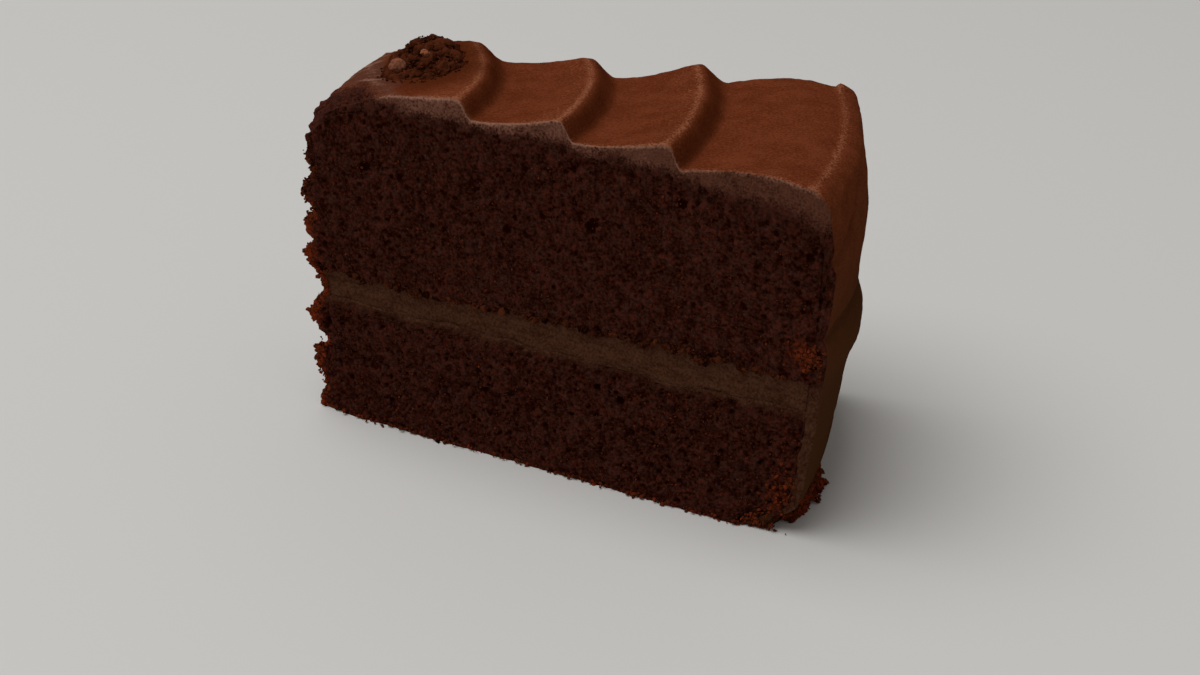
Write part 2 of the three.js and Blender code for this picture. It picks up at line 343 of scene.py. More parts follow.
def weld(grids):
    """Several grids as one skin: points that agree to a ten-thousandth of a mm become one."""
    points, triangles, offset = [], [], 0
    for grid in grids:
        rows, columns = grid.shape[:2]
        points.append(grid.reshape(-1, 3))
        triangles.append(grid_triangles(rows, columns) + offset)
        offset += rows * columns
    points = np.concatenate(points)
    keys = np.round(points * 1e4).astype(np.int64)
    _, first, index = np.unique(keys, axis=0, return_index=True, return_inverse=True)
    triangles = index.reshape(-1)[np.concatenate(triangles)]
    a, b, c = triangles.T
    return points[first], triangles[(a != b) & (b != c) & (c != a)]


def normals_of(points, triangles):
    """Unit normal of each point: the sum of its triangles' area vectors, over the length of that sum."""
    a, b, c = (points[triangles[:, k]] for k in range(3))
    area = np.repeat(np.cross(b - a, c - a), 3, axis=0)
    total = np.stack([np.bincount(triangles.ravel(), area[:, k], len(points)) for k in range(3)], axis=1)
    return total / np.maximum(np.linalg.norm(total, axis=1, keepdims=True), 1e-12)


print("a grid of 3 by 4 points has", len(grid_triangles(3, 4)), "triangles")


# %% Objects
GROUND_GAP = 0.02


def linked(name, data):
    """A new object in the scene that shows a mesh, a lamp or a camera."""
    made = bpy.data.objects.new(name, data)
    bpy.context.scene.collection.objects.link(made)
    return made


def make_piece(name, points, triangles, values=None, soft=True):
    """A mesh object from points in the slice's own mm, kept above the ground, with its number attributes."""
    placed = np.maximum(points, [-1e9, -1e9, GROUND_GAP])
    mesh = bpy.data.meshes.new(name)
    mesh.from_pydata(((placed + ORIGIN) * MM).tolist(), [], triangles.tolist())
    mesh.polygons.foreach_set("use_smooth", np.full(len(triangles), soft))
    for key, numbers in (values or {}).items():
        mesh.attributes.new(key, "FLOAT", "POINT").data.foreach_set("value", numbers.astype(np.float32))
    mesh.update()
    print(name, len(triangles), "triangles")
    return linked(name, mesh)


def settle(piece, node, material):
    """Gives a piece its body and its finish, and hides the CAD node that it stands for."""
    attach(piece, "root")
    if node:
        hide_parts(node)
    piece.data.materials.append(material)


print("pieces stay", GROUND_GAP, "mm over the ground")


# %% [markdown]
# ## Writing shaders as sums
# A shader is a web of small nodes, and a sum of two numbers is a node as well. Wrapping a socket in a
# class lets Python's own signs add those nodes, so a mask reads as it would on paper. Any other node
# comes from one method that takes the node's type, its settings and its inputs.

# %% Wrapped sockets
class Value:
    """A number that a socket carries; + - and * on it add Math nodes."""

    def __init__(self, finish, socket):
        self.finish = finish
        self.socket = socket

    def _math(self, operation, a, b):
        """A Math node between two values, of which one may be a plain number."""
        return self.finish.node("ShaderNodeMath", {"operation": operation}, {0: a, 1: b})

    def __add__(self, other):
        return self._math("ADD", self, other)

    def __sub__(self, other):
        return self._math("SUBTRACT", self, other)

    def __rsub__(self, other):
        return self._math("SUBTRACT", other, self)

    def __mul__(self, other):
        return self._math("MULTIPLY", self, other)

    __radd__ = __add__
    __rmul__ = __mul__


print("signs that add a node:", [name for name in vars(Value) if name[2:5] in ("add", "sub", "mul")])


# %% Node maker
class Finish:
    """A material with one Principled shader, and the methods that add nodes to it."""

    def __init__(self, name):
        self.material = bpy.data.materials.new(name)
        self.material.use_nodes = True
        self.tree = self.material.node_tree
        self.shader = self.tree.nodes["Principled BSDF"]
        self.place = self.node("ShaderNodeTexCoord", output="Object")

    def feed(self, socket, value):
        """Links a wrapped socket to an input, or sets the input to a plain value."""
        if isinstance(value, Value):
            self.tree.links.new(value.socket, socket)
        else:
            socket.default_value = value

    def node(self, kind, settings=None, inputs=None, output=0):
        """Adds a node: its settings first, then its inputs; gives back one wrapped output."""
        made = self.tree.nodes.new(kind)
        for key, value in (settings or {}).items():
            setattr(made, key, value)
        for key, value in (inputs or {}).items():
            self.feed(made.inputs[key], value)
        return Value(self, made.outputs[output])

    def attribute(self, name):
        """A number stored on the mesh."""
        return self.node("ShaderNodeAttribute", {"attribute_name": name}, output="Fac")

    def noise(self, size, detail=2.0, stretch=(1, 1, 1)):
        """Soft noise from 0 to 1, its bumps about size mm apart and longer along a stretched axis."""
        scale = tuple(1 / (size * MM * s) for s in stretch)
        place = self.node("ShaderNodeMapping", {}, {"Vector": self.place, "Scale": scale})
        return self.node("ShaderNodeTexNoise", {}, {"Vector": place, "Scale": 1.0, "Detail": detail})

    def ramp(self, value, low, high):
        """0 below low, 1 above high, smooth between."""
        settings = {"interpolation_type": "SMOOTHSTEP"}
        return self.node("ShaderNodeMapRange", settings, {"Value": value, "From Min": low, "From Max": high})

    def mix(self, share, a, b):
        """Colour a where share is 0, b where it is 1; a Mix node's colours are inputs 6 and 7, output 2."""
        return self.node("ShaderNodeMix", {"data_type": "RGBA"}, {0: share, 6: a, 7: b}, output=2)

    def bump(self, height, strength, depth):
        """Small relief that only the light sees, depth mm deep."""
        inputs = {"Height": height, "Strength": strength, "Distance": depth * MM}
        return self.node("ShaderNodeBump", {}, inputs, output="Normal")

    def finish(self, **inputs):
        """Sets the shader's own inputs by name, with spaces written as underscores."""
        for key, value in inputs.items():
            self.feed(self.shader.inputs[key.replace("_", " ")], value)
        return self.material


def colour(red, green, blue):
    """A colour with full alpha, in the linear numbers that shaders use."""
    return (red, green, blue, 1.0)


print("pale grey in linear numbers:", colour(0.6, 0.6, 0.6))


# %% [markdown]
# ## The finishes
# Chocolate sponge is close to black in its holes, a painted shade, greyer on the grains between them, in part
# a painted sheen, and red-brown where a crumb stands up and lets a little light through, so its colour
# follows the relief that the mesh stores. Icing is a warmer, lighter brown, and greyer and duller where the
# knife has dragged through it; a painted highlight lies along its crests, its lip and its front edge, and a
# painted shade on the steep sides of its rings and round the torn patch. Painted textures could show this
# too, but noise needs no files and stays sharp from near.

# %% Colours of sponge and filling
def torn_colour(f):
    """Colour of torn sponge: a painted shade makes it nearly black and red in the pores; it is greyer on the
    grains between them, in part a painted sheen.
    """
    grain = f.noise(0.65, 3.0)
    # painted shade: the lower the stored relief, the darker, so the pores go nearly black
    lifted = f.ramp(f.attribute("relief") + 1.5 * (grain - 0.5), -0.10, 1.05)
    # the grains' light colour wanders from grey, in part a painted sheen, to red
    tint = f.ramp(f.noise(1.3, 3.0), 0.35, 0.65)
    light = f.mix(tint, colour(0.068, 0.0255, 0.0190), colour(0.088, 0.0215, 0.0125))
    return f.mix(lifted, colour(0.0130, 0.0018, 0.0004), light)


def cream_colour(f):
    """Colour of the filling: dull olive brown, speckled where crumbs were dragged through it."""
    speck = f.ramp(f.noise(1.6, 3.0, (4, 4, 1)) * 0.4 + f.noise(0.55, 3.0) * 0.6, 0.33, 0.67)
    return f.mix(speck, colour(0.043, 0.0138, 0.0062), colour(0.095, 0.0400, 0.0222))


def dull(f, base, roughness, relief):
    """Sets a finish that has no shine at all, as the light soaks into cake and cream."""
    return f.finish(Base_Color=base, Roughness=roughness, Specular_IOR_Level=0.0, Normal=relief)


def sponge_finish():
    """Torn sponge: redder where it is thin, with some of the filling soaked in where the two meet."""
    f = Finish("chocolate sponge")
    warm = f.ramp(f.attribute("warmth") + 2.2 * (f.noise(0.9, 3.0) - 0.5), 0.20, 1.4)
    crumb = f.mix(warm, torn_colour(f), colour(0.190, 0.0290, 0.0085))
    soaked = f.ramp(f.attribute("soaked") + 0.7 * (f.noise(1.0, 3.0) - 0.5), 0.2, 1.0)
    return dull(f, f.mix(soaked, crumb, cream_colour(f)), 0.9, f.bump(f.noise(0.45, 2.0), 0.9, 0.30))


def filling_finish():
    """Soft chocolate cream pulled level by the knife."""
    f = Finish("chocolate filling")
    return dull(f, cream_colour(f), 0.75, f.bump(f.noise(0.6, 3.0), 0.7, 0.20))


SPONGE = sponge_finish()
FILLING = filling_finish()
print("sponge nodes:", len(SPONGE.node_tree.nodes), "and filling nodes:", len(FILLING.node_tree.nodes))


# %% Finish of the icing
def icing_skin(f, grain):
    """Colour of the icing's open surface: milk brown, with a painted highlight along the crests, the lip and
    the front edge, tan on the knobs, painted shade on the steep sides and round the patch, olive towards the
    foot.
    """
    cloud = f.ramp(f.noise(7.0, 3.0) * 0.35 + grain * 0.65, 0.36, 0.64)
    skin = f.mix(cloud, colour(0.112, 0.0232, 0.0068), colour(0.188, 0.0455, 0.0180))
    speckle = f.noise(0.45, 3.0)
    # painted highlight: the stored ridge number lights the crests, the lip and the front edge; on the knobs
    # it gives their own tan
    ridge_highlight_and_tan = f.ramp(f.attribute("ridge") + 3.4 * (speckle - 0.5), 0.35, 1.5)
    skin = f.mix(ridge_highlight_and_tan, skin, colour(0.330, 0.1180, 0.0580))
    # painted shade on the steep sides of the rings and round the torn patch
    skin = f.mix(f.attribute("groove"), skin, colour(0.070, 0.0145, 0.0040))
    return f.mix(f.attribute("low"), skin, colour(0.068, 0.0265, 0.0110))


def icing_cut(f, grain):
    """Colour of its cut face: sponge dark below, greyish above, with a painted highlight along the very edge,
    where its frayed rounding faces the lamp.
    """
    band = f.attribute("band")
    pale = f.mix(f.ramp(grain, 0.30, 0.70), colour(0.112, 0.0445, 0.0295), colour(0.225, 0.0960, 0.0640))
    deep = f.mix(f.attribute("pale"), colour(0.094, 0.0330, 0.0185), pale)
    smeared = f.mix(f.ramp(band + 0.5 * (grain - 0.5), 0.0, 0.9), colour(0.052, 0.0165, 0.0105), deep)
    face = f.mix(f.ramp(band + 2.2 * (grain - 0.5), -0.20, 0.90), torn_colour(f), smeared)
    face = f.mix(f.attribute("cream"), face, cream_colour(f))
    # line: a painted highlight along the frayed cut edge, and real lighter streaks in the smear
    line = f.ramp(f.attribute("line") + 1.3 * (grain - 0.5), 0.20, 1.05)
    return f.mix(line, face, colour(0.310, 0.1550, 0.1050))


def icing_finish():
    """Buttercream: its open skin where the stored number cut is 0, and its cut face where it is 1."""
    f = Finish("chocolate icing")
    cut = f.attribute("cut")
    grain = f.noise(0.50, 3.0)
    base = f.mix(cut, icing_skin(f, grain), icing_cut(f, grain))
    return dull(f, base, 0.50 + 0.30 * cut, f.bump(grain, 0.7, 0.20))


ICING = icing_finish()
print("icing nodes:", len(ICING.node_tree.nodes))


# %% Finish of the crumbs
def crumb_finish():
    """Loose crumbs: nearly black, then brown, then the red of thin crumbs that the light goes through."""
    f = Finish("loose crumbs")
    tone = f.attribute("tone") + 0.7 * (f.noise(0.6, 3.0) - 0.5)
    brown = f.mix(f.ramp(tone, 0.0, 0.5), colour(0.010, 0.0018, 0.0007), colour(0.088, 0.0225, 0.0092))
    base = f.mix(f.ramp(tone, 0.45, 1.0), brown, colour(0.190, 0.0300, 0.0085))
    return dull(f, base, 0.9, f.bump(f.noise(0.35, 2.0), 0.8, 0.20))


CRUMBS = crumb_finish()
print("finishes:", [m.name for m in (SPONGE, FILLING, ICING, CRUMBS)])

# %% [markdown]
# ## The sponge layers
# A layer is a wall carried round its plan, closed above and below by caps that nobody sees. The wall's
# points are about a third of a millimetre apart, fine enough to hold each crumb. A knife leaves a face that
# is flat on the whole, torn a little, and full of opened bubbles between crumbs. A Displace modifier on a
# block would do this too, but as finely on its hidden faces.

# %% Relief of a cut through sponge
PORES = ((0.9, 0.38, 41), (1.7, 0.62, 51), (6.5, 1.25, 61))  # how far apart, widest radius, seed


def sponge_waves(p):
    """Push in mm of the slow part: the tears that a knife leaves, in waves of 11 and 3 mm."""
    return 0.30 * rough(p, 11, 21, 2) + 0.16 * rough(p, 3.0, 23, 2)


def sponge_grain(p):
    """Push in mm of the fine part: grains that stand up, less round pores of three sizes."""
    grain, tag = nearest_seed(p, 1.0, 31)
    height = 0.20 * rough(p, 1.3, 27, 2) + (0.10 + 0.22 * tag) * (1 - smooth(grain, 0, 0.7)) - 0.1
    for size, widest, seed in PORES:
        far, tag = nearest_seed(p, size, seed)
        radius = widest * smooth(tag, 0.30, 1.0)
        height = height - np.sqrt(np.maximum(radius**2 - far**2, 0))
    return height


print("grain at three places:", np.round(sponge_grain(samples), 2))


# %% The crumbling nose
NOSE_BITES = (  # height, how far the nose is set back there (less than nothing stands out), spread
    (5.0, 1.3, 3.0),
    (18.4, 2.9, 1.9),
    (25.3, -1.1, 1.9),
    (31.8, 2.7, 3.3),
    (39.8, -0.9, 1.4),
    (43.0, 1.3, 1.0),
    (46.2, -0.6, 1.2),
    (50.2, 2.6, 1.8),
    (60.0, 1.2, 2.6),
    (68.0, 1.7, 5.0),
)


def nose_setback(y, z):
    """How far the crumbling nose is set back at a place: a sum of bells that wander up and down along it."""
    level = z + 2.5 * bumpy(stack(0, y, 0.2 * z), 7, 17) * smooth(y, 0.5, 6)
    ragged = 0.9 * bumpy(stack(0, y, z), 2.2, 18) + 0.7 * bumpy(stack(0, y, z), 1.1, 19)
    fade = 1 - (0.35 + 0.30 * bumpy(stack(0, y, z), 6, 20)) * smooth(y, 2, 9)
    return ragged + fade * sum(depth * bell(level, height, spread) for height, depth, spread in NOSE_BITES)


def from_cuts(p):
    """Distances in mm inwards from the front cut's plane, the back cut's plane and the nose's line."""
    back = (p[:, :2] - NOSE_BACK) @ np.array([np.sin(BACK_CUT), -np.cos(BACK_CUT)])
    front = p[:, 1] + 1.2 * (worn(p)[:, 1] < p[:, 1] - 0.01)
    return np.maximum(front, 0), np.maximum(back, 0), np.maximum(p[:, 0] + 1.5 * p[:, 1] / NOSE_BACK[1], 0)


def warmth(p):
    """1 where thin crumbs let the light through: the nose's edges, the foot and the broken corners."""
    x, y, z = p.T
    _, back, nose = from_cuts(p)
    corners = np.exp(-np.maximum(y, 0) / 3) + 0.4 * np.exp(-back / 3)
    edges = 1.2 * np.exp(-nose / 1.7) * corners * (1 - 0.7 * smooth(z, 45, 58))
    shelf = 0.9 * bell(x, 120.5, 3.5) * bell(z, 42.8, 3.5)
    shelf = shelf + 0.7 * bell(x, 116.5, 3.5) * (1 - smooth(z, 5, 28))
    return np.maximum(edges, 0.8 * np.exp(-z / 0.9)) + shelf * np.exp(-np.maximum(y, 0) / 2)


print("the nose is set back by", [round(float(nose_setback(0.0, height)), 1) for height, _, _ in NOSE_BITES])


# %% Walls and lids of a layer
WALL_COLUMNS = (352, 30, 250, 104)  # points along the front cut, the rim, the back cut and the nose


def layer_wall(bottom, top, rows):
    """The wall of a layer: front cut, rim, back cut and nose in one round, repeated at each height."""
    w = np.linspace(0, 1, rows)[:, None]
    front, rim, back, nose = (np.linspace(0, 1, n)[None, :] for n in WALL_COLUMNS)
    height = blend(bottom(60.0, 20.0), top(60.0, 20.0), w)
    rim_line = stack(*ring_point(sponge_radius(height) + 0.4, rim), 0)
    nose_x, nose_y = NOSE_BACK[0] * (1 - nose), NOSE_BACK[1] * (1 - nose)
    nose_z = blend(bottom(nose_x, nose_y), top(nose_x, nose_y), w)
    nose_line = stack(nose_x + nose_setback(nose_y, nose_z), nose_y, 0)
    front_line = blend(nose_line[:, -1:], rim_line[:, :1], front[..., None])
    back_line = blend(rim_line[:, -1:], nose_line[:, :1], back[..., None])
    wall = np.concatenate([front_line[:, :-1], rim_line[:, :-1], back_line[:, :-1], nose_line], axis=1)
    x, y = wall[..., 0], wall[..., 1]
    return worn(stack(x, y, blend(bottom(x, y), top(x, y), w)))


def cap(edge, height, up):
    """A lid from the wall's edge to its middle, in rounds that shrink towards it."""
    middle = edge.mean(axis=0)
    shrink = np.array([1, 0.96, 0.5, 0])[:, None, None]
    lid = middle + (edge - middle) * shrink
    lid[1:, :, 2] = height(lid[1:, :, 0], lid[1:, :, 1])
    lid[-1, :, 2] = lid[-1, 0, 2]
    return lid if up else lid[::-1]


def layer(name, bottom, top, rows, relief, inset=0.0):
    """A closed layer, set back by inset; its relief fades out at the rim, which the icing hides."""
    wall = layer_wall(bottom, top, rows)
    points, triangles = weld([wall, cap(wall[-1], top, True), cap(wall[0], bottom, False)])
    normals = normals_of(points, triangles)
    _, angle = polar(points)
    outward = normals[:, 0] * np.cos(angle) + normals[:, 1] * np.sin(angle)
    slow, fine = relief
    faces_out = 1 - smooth(outward, 0.75, 0.95)
    x, y, z = points.T
    below = np.maximum(filling_bottom(x, y) - z, 0)
    grain = fine(points)
    push = (slow(points) + grain * (1 - 0.6 * np.exp(-below / 0.8))) * faces_out
    lifted = points + normals * [1, 1, 0.35] * (push - inset)[:, None]
    soaked = np.exp(-below / 2.0) * (z < FILLING_HIGH - 2)
    # the stored relief also sets the painted shade in the pores of the sponge's colour
    values = {"relief": grain + 0.45, "soaked": soaked, "warmth": warmth(points)}
    return make_piece(name, lifted, triangles, values)


def over_sponge_top(x, y):
    """Half a mm inside the icing, so that no gap shows between the two."""
    return sponge_height(x, y) + 0.5


SPONGE_RELIEF = (sponge_waves, sponge_grain)
lower = layer(
    "lower_sponge",
    bottom=lambda x, y: 0.0 * x,  # the ground
    top=filling_bottom,
    rows=78,
    relief=SPONGE_RELIEF,
)
settle(lower, "sponge_lower", SPONGE)
upper = layer("upper_sponge", filling_top, over_sponge_top, rows=108, relief=SPONGE_RELIEF)
settle(upper, "sponge_upper", SPONGE)

# %% [markdown]
# ## The filling
# The cream between the sponges is softer than they are: the knife pulls it level, so it only waves a
# little and lies just behind the crumbs. It reaches a little way into both layers, so no gap shows. A plain
# slab would do from afar, but the sponge's maker gives it wavy edges.

# %% Filling
def filling_waves(p):
    """Push in mm: low waves, longer along the cut than up it."""
    return 0.20 * rough(p * [0.5, 0.5, 1], 3, 71, 3)


def filling_grain(p):
    """Push in mm: a fine grain, where crumbs have been dragged through the cream."""
    return 0.14 * rough(p, 0.9, 75, 2)


cream = layer(
    "cream_filling",
    bottom=lambda x, y: filling_bottom(x, y) - 0.9,  # inside the lower sponge
    top=lambda x, y: filling_top(x, y) + 0.9,  # inside the upper sponge
    rows=24,
    relief=(filling_waves, filling_grain),
    inset=0.35,
)
settle(cream, "filling", FILLING)

# %% [markdown]
# ## The icing
# The icing is one sheet bent over the rim. Its section is a chain of points that runs over the rings from
# the nose, round the lip and down the outer side, and the underside is a second chain that follows the
# sponge. Between them lie the cut faces, which show how thick it is. Points crowd together near the cuts,
# where the knife has rounded and torn the edge. A Solidify modifier could thicken one surface, but this
# icing's thickness changes from place to place.

# %% Icing chains
TOP_STATIONS = 250
LIP_STATIONS = 16
SIDE_STATIONS = 130
ACROSS_STATIONS = 106
CUT_STEPS = 12
LIP_TURN = 3.5


def crowd_at_ends(count, share=0.75):
    """Numbers from 0 to 1 that lie closer together near both ends: t less a part of a sine wave."""
    t = np.linspace(0, 1, count)
    return t - share * np.sin(2 * np.pi * t) / (2 * np.pi)


def icing_outside(across):
    """The outer surface: rings, then the lip, then the side down to the ground.

    The lip falls evenly while its radius grows by LIP_TURN times 1 - (1 - share) to a power, which makes it a
    sloping shoulder at the front cut and a sharp one at the back cut, where a flap of icing is turned up.
    """
    v = across[None, :]
    radius = np.linspace(NOSE_START, LIP_RADIUS, TOP_STATIONS)[:, None]
    x, y = plan_point(radius, v)
    flap = 1.3 * smooth(v, 0.940, 0.962)
    top = stack(x, y, top_height(x, y) + flap * smooth(radius, LIP_RADIUS - 0.9, LIP_RADIUS - 0.1))
    share = (np.arange(1, LIP_STATIONS) / LIP_STATIONS)[:, None]
    lip_x, lip_y = ring_point(LIP_RADIUS + LIP_TURN * (1 - (1 - share) ** (1.8 + 1.7 * v)), v)
    lip_z = top[-1:, :, 2] - (top[-1:, :, 2] - SIDE_TOP) * share
    z = np.linspace(SIDE_TOP, 0.0, SIDE_STATIONS)[:, None] + 0 * v
    side_x, side_y = ring_point(side_radius(z, 64 * v), v)
    return worn(np.concatenate([top, stack(lip_x, lip_y, lip_z), stack(side_x, side_y, z)]))


def icing_inside(across):
    """The hidden surface: over the sponge and down its side, point for point with the outside."""
    v = across[None, :]
    radius = np.linspace(NOSE_START, sponge_radius(67.0) + 0.1, TOP_STATIONS)[:, None]
    x, y = plan_point(radius, v)
    top = stack(x, y, sponge_height(x, y) + 0.05)
    share = (np.arange(1, LIP_STATIONS + SIDE_STATIONS) / (LIP_STATIONS + SIDE_STATIONS - 1))[:, None]
    z = top[-1:, :, 2] * (1 - share)
    side_x, side_y = ring_point(sponge_radius(z) + 0.1, v)
    return worn(np.concatenate([top, stack(side_x, side_y, z)]))


def between(first, last, steps):
    """Grid of points from one line of points to another."""
    share = np.linspace(0, 1, steps)[:, None, None]
    return first[None] + (last - first)[None] * share


outside = icing_outside(crowd_at_ends(ACROSS_STATIONS))
inside = icing_inside(crowd_at_ends(ACROSS_STATIONS))
icing_grids = [
    outside.transpose(1, 0, 2),
    inside,
    between(inside[:, 0], outside[:, 0], CUT_STEPS),
    between(outside[:, -1], inside[:, -1], CUT_STEPS),
    between(outside[0], inside[0], CUT_STEPS),
    between(inside[-1], outside[-1], CUT_STEPS),
]
icing_points, icing_triangles = weld(icing_grids)
print("icing sheet:", len(icing_points), "points")


# %% Depth in the icing
def skin_depths(p):
    """Depth in mm under the top, and within the outer side."""
    return top_height(p[:, 0], p[:, 1]) - p[:, 2], side_radius(p[:, 2], p[:, 1]) - polar(p)[0]


def skin_gap(p):
    """Distance in mm under the open surface: the smaller of the two depths."""
    return np.maximum(np.minimum(*skin_depths(p)), 0)


def over_sponge(p):
    """How far a point of the icing lies outside the sponge: the larger of the two ways out of it."""
    return np.maximum(p[:, 2] - sponge_height(p[:, 0], p[:, 1]), polar(p)[0] - sponge_radius(p[:, 2]))


print("the icing is up to", round(float(over_sponge(icing_points).max()), 1), "mm thick")


# %% Icing relief
def icing_relief(p):
    """Push of the open surface in mm: slow waves, comb lines along the rings, streaks down the side."""
    radius, angle = polar(p)
    rings = stack(radius, angle * LIP_RADIUS, p[:, 2])
    side = smooth(radius, LIP_RADIUS + 1, LIP_RADIUS + 3)
    waves = 0.28 * bumpy(p, 17, 81) + 0.12 * bumpy(p, 5, 82)
    lines = 0.06 * rough(rings * [1, 0.08, 1], 1.3, 83, 2) * (1 - side)
    streaks = 0.05 * rough(rings * [1, 1, 0.10], 1.1, 85, 2) * side
    smears = 0.10 * rough(rings * [1, 0.15, 1], 3.5, 87, 2) * side
    return waves + lines + streaks + smears + 0.04 * rough(p, 0.9, 89, 2)


def cut_relief(p):
    """Push of a cut face in mm: smeared cream with a fine torn grain."""
    return 0.16 * rough(p, 2.6, 93, 3) + 0.14 * rough(p, 0.8, 91, 2)


def edge_direction(p, gaps):
    """Over the nearest edge: outwards from the nearest cut plus outwards from the skin."""
    cuts = np.array([(0, -1, 0), (-np.sin(BACK_CUT), np.cos(BACK_CUT), 0), (-1, 0, 0)])
    _, angle = polar(p)
    under, within = skin_depths(p)
    upward = (under < within)[:, None]
    skin = np.where(upward, [0.0, 0.0, 1.0], stack(np.cos(angle), np.sin(angle), 0))
    return cuts[np.argmin(np.stack(gaps), axis=0)] + skin


def painted_ridge_highlight(p):
    """Where a painted highlight lightens the skin: along each crest, on the slope before it, and along the
    lip.
    """
    radius, _ = polar(p)
    lines = 1.05 * bell(radius, LIP_RADIUS - 0.5, 0.95)
    for crest, _, _ in CRESTS:
        lines = lines + bell(radius, crest - 0.4, 1.0) + 0.4 * bell(radius, crest - 3.5, 3.0)
    return lines * (p[:, 2] > SIDE_TOP + 0.5) * (0.85 + 0.25 * bumpy(p, 6, 92))


print("skin pushed out by up to", round(float(icing_relief(icing_points).max()), 2), "mm")


# %% Where the icing is torn off
def bare_share(p, blur=0.9):
    """1 where the icing is torn off at the nose's front corner and sponge shows, up to a wandering line."""
    x, y, _ = p.T
    limit = 8.0 + 4.5 * (1 - smooth(x, -2, 6)) - 10 * smooth(x, 12, 27)
    limit = limit + 1.5 * rough(p, 4, 94, 2) + 1.2 * rough(p, 1.3, 98, 2)
    return smooth(limit - np.maximum(y, 0), -blur, blur)


def icing_push(points, gaps):
    """Push along the normal: the skin's relief, or that of the cut faces, and neither on their edge."""
    cut_gap = np.minimum.reduce(gaps)
    depth = over_sponge(points)
    bare = bare_share(points)
    open_skin = smooth(cut_gap, 0.0, 0.5 - 0.4 * bare) * np.maximum(smooth(depth, 0.3, 1.2), bare)
    cut_face = (1 - smooth(cut_gap, 0.0, 0.1)) * (1 - np.exp(-skin_gap(points) / 0.5) * (1 - bare))
    torn = sponge_waves(points) + sponge_grain(points) + 0.7 * bare * rough(points, 2.4, 90, 2)
    face_relief = blend(torn, 0.5 * torn + cut_relief(points), smooth(depth, 0.5, 3.0) * (1 - bare))
    return open_skin * blend(icing_relief(points), torn, bare) + cut_face * face_relief


# %% Where a patch was pulled off
PATCH = np.array([17.8, 24.0])
PATCH_TURN = np.radians(118)


def patch_reach(angle):
    """Outline of the torn patch: a turned oval, 14.5 by 8.8 mm from its middle, that wanders by an eighth."""
    turn = stack(3 * np.cos(angle), 3 * np.sin(angle), 0)
    oval = 1 / np.hypot(np.cos(angle - PATCH_TURN) / 14.5, np.sin(angle - PATCH_TURN) / 8.8)
    return oval * (1 + 0.13 * rough(turn, 1.4, 121, 3))


def patch_shade_and_smudge(p):
    """Painted shade round the patch, under its knob and its edge, with a smudge of crumbs: 1 at its outline
    and 0 at about twice its reach.
    """
    away = p[:, :2] - PATCH
    reach = patch_reach(np.arctan2(away[:, 1], away[:, 0]))
    return 1 - smooth(np.hypot(away[:, 0], away[:, 1]) / reach, 1.1, 2.1)


print("the patch reaches", np.round(patch_reach(np.radians([0, 90, 180, 270])), 1), "mm from its middle")


# %% The icing's piece and its stored numbers
def icing_values(points, gaps):
    """Numbers for the finish: what is cut, how high in the cut face, and where it is worn, bare or creamy."""
    cut_gap = np.minimum.reduce(gaps)
    radius, _ = polar(points)
    x, y, z = points.T
    depth = over_sponge(points)
    torn_side = smooth(z, 34, 39) * (1 - smooth(z, 66, 74)) * smooth(radius, 146, 150)
    wander = rough(points, 3.0, 99, 2)
    shallow = 1 - smooth(skin_gap(points) + wander, 2.6, 8.0)
    rim_fade = 1 - 0.15 * smooth(x, 75, 105)
    band = smooth(depth + 0.9 * wander, -0.9, 4.8) * (1 - torn_side) * shallow * rim_fade
    bare = bare_share(points, 2.6)
    smear = smooth(26 + 2.0 * rough(points, 5, 96, 2) - x - 0.75 * y, -3, 4) * (1 - bare)
    edge_share = 1 - smooth(cut_gap, 0.02, 0.55 + 0.3 * bumpy(points, 2.0, 95))
    side = np.maximum(smooth(radius, LIP_RADIUS + 0.5, LIP_RADIUS + 2.0), 1 - smooth(z, 60, 66))
    # painted highlight where the rounded, frayed cut edge faces the lamp
    cut_edge_highlight = np.exp(-cut_gap / 0.8 - skin_gap(points) / 0.65) * (1 - side) * (1 - 0.35 * smooth(x, 60, 95))
    streaks = smear * (0.24 + 0.66 * rough(points * [0.3, 1, 1], 1.6, 88, 2)) * smooth(cut_gap, 0.1, 0.6)
    # groove: painted shade on each crest's steep side, which faces away from the lamp
    groove = sum(bell(radius, crest + 2.6, 2.0) for crest, _, _ in CRESTS) * (z > SIDE_TOP)
    # painted highlight along the top of the front cut, where the edge faces the lamp
    painted_top_edge_highlight = 1.1 * np.exp(-np.maximum(y, 0) / 1.1) * smooth(x, 20, 40) * (1 - side)
    return {
        "cut": np.maximum(edge_share, np.maximum(0.85 * smear, bare)),
        "band": band * (1 - 0.8 * bare),
        "pale": (1 - 0.7 * smooth(x, 52, 100)) * (0.85 + 0.3 * wander) * (1 - 0.75 * smear),
        "line": np.maximum(cut_edge_highlight * (1 - bare), streaks),
        "ridge": painted_ridge_highlight(points) + painted_top_edge_highlight,
        # groove: painted shade on the steep sides, and painted shade with a crumb smudge round the patch
        "groove": np.minimum(0.55 * groove + 0.75 * patch_shade_and_smudge(points), 1),
        # relief sets the painted shade in the pores where torn sponge shows
        "relief": 1.3 * sponge_grain(points) + 0.45 + 0.08 * bare,
        "cream": smooth(radius, 147, 149) * (1 - smooth(z, 33, 38)),
        "low": side * (1 - smooth(z, 26, 92)),
    }


